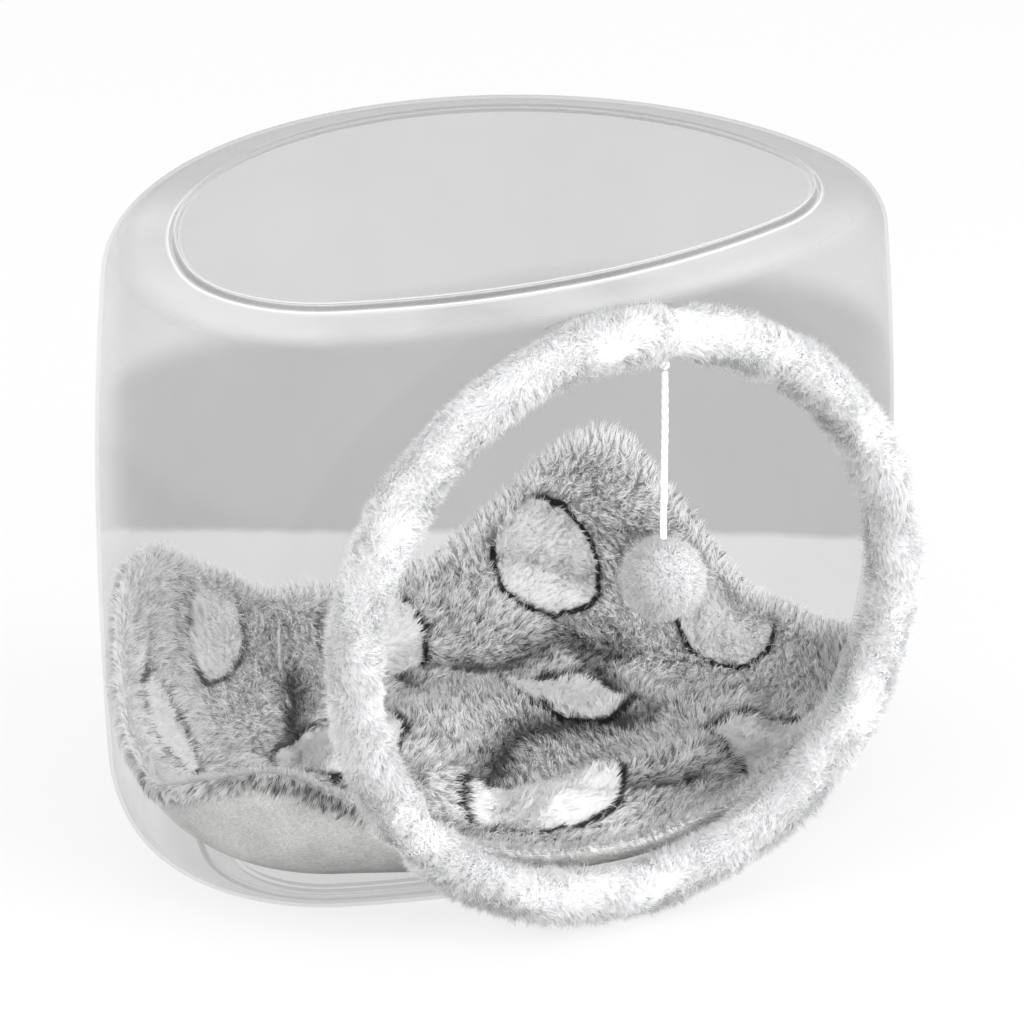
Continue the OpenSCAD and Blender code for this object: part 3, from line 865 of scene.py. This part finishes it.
# Random places on a closed-round grid, as many per area everywhere, times a weight. Each is a
# quad and two shares u and v in it, and on(values) gives another grid's values there
def placesOn(grid, weight, n, rng):
    rows, columns = grid.shape[:2]
    a, b = np.diff(grid, axis=0), np.roll(grid, -1, axis=1) - grid
    area = np.linalg.norm(np.cross(a, b[:-1]), axis=2) * weight
    pick = np.searchsorted(np.cumsum(area.ravel()) / area.sum(), rng.random(n))
    k, i = np.minimum(pick // columns, rows - 2), pick % columns
    j = (i + 1) % columns
    u, v = rng.random((n, 1)), rng.random((n, 1))

    def on(values):
        low = values[k, i] * (1 - u) + values[k, j] * u
        high = values[k + 1, i] * (1 - u) + values[k + 1, j] * u
        return low * (1 - v) + high * v

    return on


# The mat's thickness over its underside is full inside and thin at the edge, plus folds, less
# creases, plus small waves. Its section at the rim is rounded by a quarter of a circle, and the
# three layers share that thickness out between them
def makeMat(c, settings):
    base, straight, share, left = matGrid(c, settings)
    rows, columns = base.shape[:2]
    steps = np.linalg.norm(np.diff(base, axis=0), axis=2)
    away = np.concatenate([np.zeros((1, columns)), np.cumsum(steps, axis=0)])
    middle = settings["centre"]
    turn = np.arctan2(base[rows // 2, :, 1] - middle[1], base[rows // 2, :, 0] - middle[0])
    cloth = np.stack([away * np.cos(turn), away * np.sin(turn), 0 * away], -1)
    x, y = cloth[..., 0], cloth[..., 1]
    puff = (0.0013 * np.sin(x * 70 + 1 + 6 * y) * np.cos(y * 62 - 9 * x)
            + 0.0009 * np.sin(x * 150 + y * 120) + 0.0006 * np.sin(y * 260 - x * 190 + 2))
    thickness = settings["thick"] - settings["edgeThick"]
    thickness = settings["edgeThick"] + thickness * ease(left / settings["edgeWay"])
    fold = foldHeight(settings, base[..., 0], base[..., 1]) * (1 - share)
    crease, deep = creaseShare(settings, base[..., 0], base[..., 1])
    crease, deep = crease * (1 - share) ** 0.3, deep * (1 - share) ** 0.5
    thickness = thickness + np.maximum(fold - deep, -0.6 * thickness) + puff * ease(left / 0.02)
    full = np.sqrt(np.maximum(1 - np.clip(1 - left / settings["edgeRound"], 0, 1) ** 2, 0.003))
    low, high = thickness / 2 * (1 - full), thickness / 2 * (1 + full)
    low = low + settings["rollIn"] * np.exp(-(left / settings["rollWay"]) ** 2) * full
    pad = settings["layerGap"] * full

    def skin(off):
        return base + straight * off[..., None]

    # Closed layer between two heights over the underside
    def layer(name, lower, upper, node, fill, every=1):
        a, b = skin(lower)[::every, ::every], skin(upper)[::every, ::every]
        place = cloth[::every, ::every]
        grid = np.concatenate([a, b[::-1]])
        quads, fans = poledFaces(len(grid), grid.shape[1])
        depth = crease[::every, ::every, None]
        edge = np.exp(-(left[::every, ::every, None] / settings["borderWay"]) ** 4)
        # hollow carries the painted shade of the creases
        values = {"clothPlace": poled(np.concatenate([place, place[::-1]])),
                  "hollow": poled(np.concatenate([depth, depth[::-1]]))[:, 0],
                  "border": poled(np.concatenate([edge, edge[::-1]]))[:, 0]}
        piece = meshPiece(name, poled(grid), [quads[:, ::-1], fans[:, ::-1]], values)
        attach(piece, "capsule")
        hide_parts(node)
        return piece

    fleeceTop, plushLow = low + settings["fleece"] * full, high - settings["backing"] * full
    fleece = layer("mat_fleece", low, fleeceTop, "mat_underside", 0.8)
    padding = layer("mat_padding", fleeceTop + pad, plushLow - pad, "mat_wadding", 0.5, 2)
    plush = layer("mat_plush", plushLow, high, "mat_top_plush", 0.8)

    top, rng = skin(high), np.random.default_rng(31)
    on = placesOn(top, 1, settings["strands"], rng)
    roots, rootNormals, rootCloth = on(top), unit(on(gridNormals(top, straight))), on(cloth)
    outward, across, down = clothAxes(rootNormals, on(np.gradient(top, axis=0)), rootCloth)
    x, y = rootCloth[:, 0], rootCloth[:, 1]
    swirl = (1.2 * np.sin(x * 22 + 0.5) + 1.0 * np.cos(y * 26 + x * 9))[:, None]
    lean = across * np.cos(swirl) * 0.75 + down * np.sin(swirl) * 0.55 - np.array([0, 0, 0.12])
    rest, hollow = on(left[..., None]), on(crease[..., None])[:, 0]
    edge = np.exp(-(rest / settings["combedWay"]) ** 2)
    lean = lean * (1 - edge) + outward * edge * 1.3
    # hollow carries painted shade in the creases and also shortens the strands there; rim carries a painted
    # highlight along the edge
    values = {"clothPlace": rootCloth, "hollow": hollow, "rim": edge[:, 0],
              "border": np.exp(-(rest[:, 0] / settings["borderWay"]) ** 4)}
    pieces = makePile("mat_pile", roots, rootNormals, across, down, rootCloth[:, :2], lean,
                      1 - 0.3 * hollow, settings["pile"], 32, values)

    # The plush is rolled over the edge, so that its pile also lies on the outside of the rim
    under, n = skin(low), settings["rollStrands"]
    rolled = (left[:-1] < settings["rollWay"]) * (base[-1, :, 2] > settings["rollFrom"])
    on = placesOn(under, rolled, n, rng)
    roots, rootNormals, rootCloth = on(under), unit(on(gridNormals(under, -straight))), on(cloth)
    outward, across, down = clothAxes(rootNormals, on(np.gradient(under, axis=0)), rootCloth)
    sideways = 0.6 * np.sin(rootCloth[:, :1] * 60 + rootCloth[:, 1:2] * 40)
    lean = -outward * 0.9 + np.cross(rootNormals, outward) * sideways
    # the rolled edge pile is darkened by a quarter of the creases' painted shade and has no painted
    # highlight
    values = {"clothPlace": rootCloth, "hollow": np.full(n, 0.25), "rim": np.zeros(n), "border": np.ones(n)}
    pieces += makePile("mat_edge_pile", roots, rootNormals, across, down, rootCloth[:, :2], lean,
                       np.ones(n), settings["rollPile"], 33, values)
    return fleece, padding, plush, pieces


matFleece, matPadding, matPlush, matPile = makeMat(capsule, mat)
print("mat made")


finishes = {
    "plastic": {
        # clear is the plastic's own tint; the next colour is the one where shade is painted, body is the
        # grey of the veil, and the one after it is the colour of painted highlights
        "clear": 0.975, "shadedTint": 0.70, "body": 0.56, "paintedHighlight": 0.93, "rough": 0.07,
        "gloss": 0.024, "rimGloss": 0.40,
        # how much less a ray that looks for a lamp is dimmed
        "letsThrough": 0.8,
        # painted shade: how grey the far side is painted above a slanting line, below it and near the top,
        # and the rest, in place of the backdrop seen through the clear wall
        "wallShade": 0.90, "floorShade": 0.36, "topShade": 0.36, "panelShade": 0.10, "nearShade": 0.12,
        "baseShade": 0.07, "footShade": 0.24, "farShoulderShade": 0.16, "cloudShade": 0.10,
        # the veil: an even haze, more at grazing angles in place of reflection, and painted highlights on
        # the shoulder and at the neck
        "veil": 0.012, "edgeVeil": 0.36, "shoulderHighlight": 0.62, "neckHighlight": 0.22,
        # where each zone starts and where it is full, in metres, and the slope of the first two, taken from
        # the camera's viewing direction so that the painted shade lines up with it
        "farSlope": (0.452, 0.892), "farZone": (-0.020, 0.050),
        "lineSlope": (0.2099, 0.3931), "lineZone": (0.1506, 0.1566), "topZone": (0.198, 0.222),
        "highZone": (0.1, 0.2), "shoulderZone": (0.325, 0.333), "panelStart": (0.3345, 0.3365),
        "panelZone": (0.330, 0.333), "baseZone": (0.010, 0.060), "footZone": (0.0065, 0.012),
        "lowZone": (0.004, 0.024), "mouthZone": (0.170, 0.178), "mouthHeight": 0.17,
    },
    # pile: colours at the root and at the tip, and how much of the light passes through a strand
    "whitePile": {"root": (0.86, 0.865, 0.88), "tip": (0.98, 0.98, 0.98), "through": 0.48},
    "greyPile": {"root": (0.105, 0.105, 0.107), "tip": (0.98, 0.98, 0.985),
                 "whiteRoot": (0.90, 0.90, 0.905), "white": (0.985, 0.985, 0.985),
                 "dark": (0.02, 0.02, 0.022), "through": 0.46},
    # print: the lattice's steps, the dot's radius, the radius of its outline, and the shift
    "dots": {"across": 0.135, "up": 0.112, "radius": 0.0350, "outline": 0.0370, "shift": (0.538, 0.470)},
}


# Clear plastic: two clear shaders, mixed by painted shade: grey zones fixed in the part's own coordinates
# that stand in for the backdrop seen through the wall, not a tint of the plastic.
# Over them a veil of grey, half diffuse and half translucent: an even haze, paler at grazing angles in
# place of reflection, with painted highlights along the step edges, on the shoulder and at the neck.
# On top a gloss that grows with the fifth power of facing
def plasticFinish(s):
    f = Finish("clear_moulded_plastic")
    x, y, z = f.split(f.place())
    facing = f.node("ShaderNodeLayerWeight", None, {"Blend": 0.5}, output="Facing")
    # Painted shade, fixed on the part: the far side greyer above a slanting line and paler near the top,
    # the top panel, the near side, the base and the foot, all mottled by a cloud of noise
    cloud = f.noise(f.place(), 16.0, 3.0) - 0.5
    (farX, farY), (lineX, lineY) = s["farSlope"], s["lineSlope"]
    far = (x * farX + y * farY).ease(*s["farZone"])
    line = (z + x * lineX + y * lineY + cloud * 0.008).ease(*s["lineZone"])
    top = (z - x * x * 0.8).ease(*s["topZone"])
    high = z.ease(*s["highZone"])
    shoulder = z.ease(*s["shoulderZone"]) * (1 - z.ease(*s["panelStart"]))
    paintedShade = s["floorShade"] + (s["wallShade"] - s["floorShade"]) * line
    paintedShade = paintedShade + (s["topShade"] - paintedShade) * top
    panel = z.ease(*s["panelZone"])
    paintedShade = paintedShade * far * (1 - panel) + panel * s["panelShade"] + cloud * s["cloudShade"] * far
    paintedShade = paintedShade + (1 - far) * line * (1 - top) * s["nearShade"]
    # painted shade, darker towards the base and the foot
    paintedShade = (paintedShade + (1 - z.ease(*s["baseZone"])) * s["baseShade"]
             + (1 - z.ease(*s["footZone"])) * s["footShade"])
    # painted shade: a grey band on the upper step faces and on the far shoulder
    paintedShade = paintedShade + f.attribute("stepFace") * (0.85 - 0.40 * far) * high + shoulder * far * s["farShoulderShade"]
    lets = 1 - f.node("ShaderNodeLightPath", output="Is Shadow Ray") * s["letsThrough"]
    paintedShade = paintedShade * lets
    clear = f.node("ShaderNodeBsdfTransparent", None, {"Color": grey(s["clear"])})
    shadedTint = f.node("ShaderNodeBsdfTransparent", None, {"Color": grey(s["shadedTint"])})
    see = f.mixShaders(paintedShade.clamp(), clear, shadedTint)
    patches = f.noise(f.place(), 9.0, 2.0).ease(0.36, 0.66)
    low = 0.25 + 0.75 * z.ease(*s["lowZone"])
    fromMouth = (x * x + (z - s["mouthHeight"]) ** 2.0).call("SQRT")
    mouth = (1 - fromMouth.ease(*s["mouthZone"])) * (1 - far)
    # painted highlights: a pale band on the near shoulder and on the shoulder land, pale lines along the
    # upper step edges, and a pale band on the neck
    near = shoulder * (1 - far) * (1 - f.attribute("stepFace"))
    edge = f.attribute("stepEdge") * high
    land = shoulder * (1 - 0.7 * f.attribute("stepFace")) * (0.50 + 0.50 * patches) * (1 - 0.35 * far)
    veil = (s["veil"] + s["edgeVeil"] * facing ** 5.0 * low + land * s["shoulderHighlight"]
            + edge * (0.85 - 0.45 * far) + f.attribute("neck") * s["neckHighlight"])
    veil = veil * lets
    paintedHighlight = (near * 0.34 + edge * 0.9 + f.attribute("neck") * 0.5).clamp()

    def pale(v):
        return f.mixShaders(0.5, f.node("ShaderNodeBsdfDiffuse", None, {"Color": grey(v)}),
                            f.node("ShaderNodeBsdfTranslucent", None, {"Color": grey(v)}))

    # the veil is the body's grey, which turns to the painted highlight's colour where highlights are
    # painted
    wall = f.mixShaders(veil.clamp(), see, f.mixShaders(paintedHighlight, pale(s["body"]), pale(s["paintedHighlight"])))
    gloss = f.node("ShaderNodeBsdfGlossy", None, {"Color": grey(1.0), "Roughness": s["rough"]})
    shine = s["gloss"] * (1 - 0.7 * far) * (1 - 0.85 * mouth) + s["rimGloss"] * facing ** 5.0 * low
    return f.done(f.mixShaders(shine, wall, gloss))


# Light that lands on a strand partly passes through it, so that neighbours glow. The colours are
# plain triples, and pale says how far a place is from the dark one to the light one
def pileShader(f, colour, pale, dark, light, through):
    lit = f.shade({"Base Color": colour, "Roughness": 0.8, "Specular IOR Level": 0.2, "Sheen Weight": 0.15})
    ends = [f.node("ShaderNodeBsdfTranslucent", None, {"Color": (*c, 1)}) for c in (dark, light)]
    return f.done(f.mixShaders(through, lit, f.mixShaders(pale, *ends)))


# White fur: paler towards the tips, and by each strand's own shade
def whitePile(name, s):
    f = Finish(name)
    factor = (f.attribute("alongStrand") * 0.85 + f.attribute("strandShade") * 0.25).clamp()
    colour = f.blend(factor, (*s["root"], 1), (*s["tip"], 1))
    return pileShader(f, colour, factor, s["root"], s["tip"], s["through"])


# One pattern of a plain stuff, between two colours and as a bump
def plainFinish(f, pattern, low, high, rough, depth, specular=0.5):
    colour = f.blend(pattern, low, high)
    return f.done(f.shade({"Base Color": colour, "Roughness": rough, "Specular IOR Level": specular,
                           "Normal": f.bump(pattern, depth)}))


# Cloth under the white fur: a fine grain
def whiteBacking(name):
    f = Finish(name)
    return plainFinish(f, f.noise(f.place(), 900.0, 4.0), grey(0.72), grey(0.90), 0.95, 0.0006, 0.1)


# White round dots with a dark outline on a staggered lattice of the cloth's own coordinates, with a
# plain border along the rim
def printMasks(f, dots):
    where = f.attribute("clothPlace", "Vector")
    a, b = f.split(where)[:2]
    wobble = (f.noise(where, 60.0, 2.0) - 0.5) * 0.006
    rowPlace = (b + dots["shift"][1]) / dots["up"]
    stagger = rowPlace.call("FLOOR").call("MODULO", 2.0) * 0.5
    across = ((a + dots["shift"][0]) / dots["across"] + stagger).call("FRACT") - 0.5
    up = rowPlace.call("FRACT") - 0.5
    away = ((across * dots["across"]) ** 2.0 + (up * dots["up"]) ** 2.0) ** 0.5 + wobble
    white = 1 - away.ease(dots["radius"], dots["radius"] + 0.0012)
    outline = 1 - (away - dots["outline"]).call("ABSOLUTE").ease(0.0013, 0.0026)
    inside = (1 - f.attribute("border")).clamp()
    return white * inside, outline * inside


# A few strands are dark, most are pale; the pile is darker where it lies open. Painted shade darkens it in
# the creases, and a painted highlight lightens the strands along the mat's edge
def greyPile(name, s, dots, strands=True):
    f = Finish(name)
    white, line = printMasks(f, dots)
    if strands:
        along, shade, rim = f.attribute("alongStrand"), f.attribute("strandShade"), f.attribute("rim")
        parted = f.noise(f.attribute("clothPlace", "Vector"), 24.0, 3.0).ease(0.40, 0.64)
        factor = shade.ease(0.08, 0.52) * 0.93 + along * 0.36 - parted * 0.33 * (1 - along * 0.4)
        # painted shade: darker by hollow in the creases; painted highlight: lighter by rim along the mat's
        # edge
        factor = (factor - f.attribute("hollow") * 0.90 + rim * 0.95).clamp()
    else:
        # painted shade: darker by hollow in the creases
        factor = (f.noise(f.place(), 700.0, 4.0) * 0.5 + 0.25 - f.attribute("hollow") * 0.6).clamp()
    pair = [(*s[key], 1) for key in ("root", "tip", "whiteRoot", "white")]
    colour = f.blend(white, f.blend(factor, *pair[:2]), f.blend(factor, *pair[2:]))
    colour = f.blend(line * 0.97, colour, (*s["dark"], 1))
    tones = [s[key][0] for key in ("root", "tip", "whiteRoot", "white")]
    fur, plain = tones[0] + (tones[1] - tones[0]) * factor, tones[2] + (tones[3] - tones[2]) * factor
    pale = (fur + (plain - fur) * white) * (1 - line * 0.97)
    return pileShader(f, colour, pale, s["dark"], s["white"], s["through"])


# Brushed fleece: fine fibres that run aslant, curls, and broad soft patches
def fleeceFinish():
    f = Finish("cream_fleece")
    along = f.node("ShaderNodeMapping", None, {"Vector": f.place(), "Rotation": (0.0, 0.5, 0.6),
                                               "Scale": (0.35, 1.0, 1.0)})
    fibres = f.noise(along, 1300.0, 3.0, 0.6)
    curl = f.noise(f.place(), 420.0, 5.0, 0.65)
    soft = f.noise(f.place(), 26.0, 3.0)
    tone = (fibres - 0.5) * 1.5 + (curl - 0.5) * 0.9 + (soft - 0.5) * 1.6 + 0.5
    colour = f.blend(tone.clamp(), grey(0.30), (0.70, 0.695, 0.685, 1))
    return f.done(f.shade({"Base Color": colour, "Roughness": 0.95, "Specular IOR Level": 0.1,
                           "Normal": f.bump(curl * 0.6 + fibres * 0.5 + soft * 0.6, 0.0018)}))


# Foam: small pale cells
def foamFinish():
    f = Finish("foam")
    cells = f.node("ShaderNodeTexVoronoi", None, {"Vector": f.place(), "Scale": 900.0})
    return plainFinish(f, cells, grey(0.75), (0.86, 0.86, 0.83, 1), 0.9, 0.0004)


# Wadding: tangled fibres
def waddingFinish(name):
    f = Finish(name)
    return plainFinish(f, f.noise(f.place(), 350.0, 6.0, 0.7), grey(0.70), grey(0.93), 0.95, 0.002)


# Twisted sewing thread
def threadFinish(name):
    f = Finish(name)
    ply = f.node("ShaderNodeTexWave", {"bands_direction": "DIAGONAL"},
                 {"Vector": f.place(), "Scale": 700.0, "Distortion": 1.0})
    return plainFinish(f, ply, grey(0.66), grey(0.88), 0.7, 0.0003)


# Cord: painted shade between its plies, with fine fibres
def cordFinish():
    f = Finish("toy_cord")
    fibre = f.noise(f.place(), 1500.0, 3.0)
    colour = f.blend(f.attribute("ply").ease(0.0, 0.5), grey(0.62), grey(0.94))
    return f.done(f.shade({"Base Color": colour, "Roughness": 0.75, "Normal": f.bump(fibre, 0.0003)}))


# Material on a piece, as its one material
def wear(piece, material):
    piece.data.materials.clear()
    piece.data.materials.append(material)


def dress():
    wear(capsuleShell, plasticFinish(finishes["plastic"]))
    pile = whitePile("white_long_pile", finishes["whitePile"])
    backing = whiteBacking("white_pile_backing")
    for piece in ringPile + ballPile:
        wear(piece, pile)
    for piece in (ringSleeve, ballCover):
        wear(piece, backing)
    wear(toyCord, cordFinish())
    wear(toyKnot, toyCord.data.materials[0])
    plush = greyPile("grey_printed_pile", finishes["greyPile"], finishes["dots"])
    base = greyPile("grey_printed_backing", finishes["greyPile"], finishes["dots"], strands=False)
    for piece in matPile:
        wear(piece, plush)
    wear(matPlush, base)
    wear(matFleece, fleeceFinish())
    wadding = waddingFinish("wadding")
    wear(matPadding, wadding)
    thread = threadFinish("white_thread")
    for piece in ringStitches:
        wear(piece, thread)
    for node, material in (("ring_foam_core", foamFinish()), ("pompom_filling", wadding)):
        wear(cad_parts[node], material)


dress()
print("finishes on")


studio = {"floorSize": 30.0, "floorGlow": 0.80, "floorColour": 0.125, "floorLit": 0.80, "ambient": 1.05,
          "aim": (0, 0, 0.15),
          "key": {"place": (1.3, -2.7, 1.7), "size": 1.6, "power": 104.0},
          "fill": {"place": (-2.4, -0.6, 2.4), "size": 2.6, "power": 60.0}}


# 1 for rays that look at the backdrop straight, in a reflection or through a clear wall
def seen(f):
    camera, glossy, through = [f.node("ShaderNodeLightPath", output=f"Is {kind} Ray")
                               for kind in ("Camera", "Glossy", "Transmission")]
    return (camera + glossy + through).clamp()


# A plain pale floor, an even world, and two round lamps that look at the bed
def makeStudio(s):
    half = s["floorSize"] / 2
    points = np.array([[-half, -half, 0], [half, -half, 0], [half, half, 0], [-half, half, 0]])
    floor = meshPiece("floor", points, [np.array([[0, 1, 2, 3]])], smooth=False)
    f = Finish("floor")
    lit = f.node("ShaderNodeBsdfDiffuse", None, {"Color": grey(s["floorLit"])})
    dim = f.node("ShaderNodeBsdfDiffuse", None, {"Color": grey(s["floorColour"])})
    glow = f.node("ShaderNodeEmission", None, {"Color": grey(1.0), "Strength": s["floorGlow"]})
    both = f.node("ShaderNodeAddShader", None, {0: dim, 1: glow})
    floor.data.materials.append(f.done(f.mixShaders(seen(f), lit, both)))
    world = bpy.data.worlds.new("studio")
    bpy.context.scene.world = world
    f = Finish("studio", world)
    soft = f.node("ShaderNodeBackground", None, {"Color": grey(1.0), "Strength": s["ambient"]})
    white = f.node("ShaderNodeBackground", None, {"Color": grey(1.0), "Strength": 1.0})
    f.done(f.mixShaders(seen(f), soft, white), "ShaderNodeOutputWorld")
    for name in ("key", "fill"):
        lamp = bpy.data.lights.new(name, "AREA")
        lamp.shape, lamp.size, lamp.energy = "DISK", s[name]["size"], s[name]["power"]
        holder = bpy.data.objects.new(name, lamp)
        holder.location = s[name]["place"]
        holder.visible_glossy = name == "key"
        aim = Vector(s["aim"]) - Vector(s[name]["place"])
        holder.rotation_euler = aim.to_track_quat("-Z", "Y").to_euler()
        bpy.context.scene.collection.objects.link(holder)
    bpy.context.scene.view_settings.view_transform = "Standard"


makeStudio(studio)
print("studio made")

bpy.context.view_layer.update()
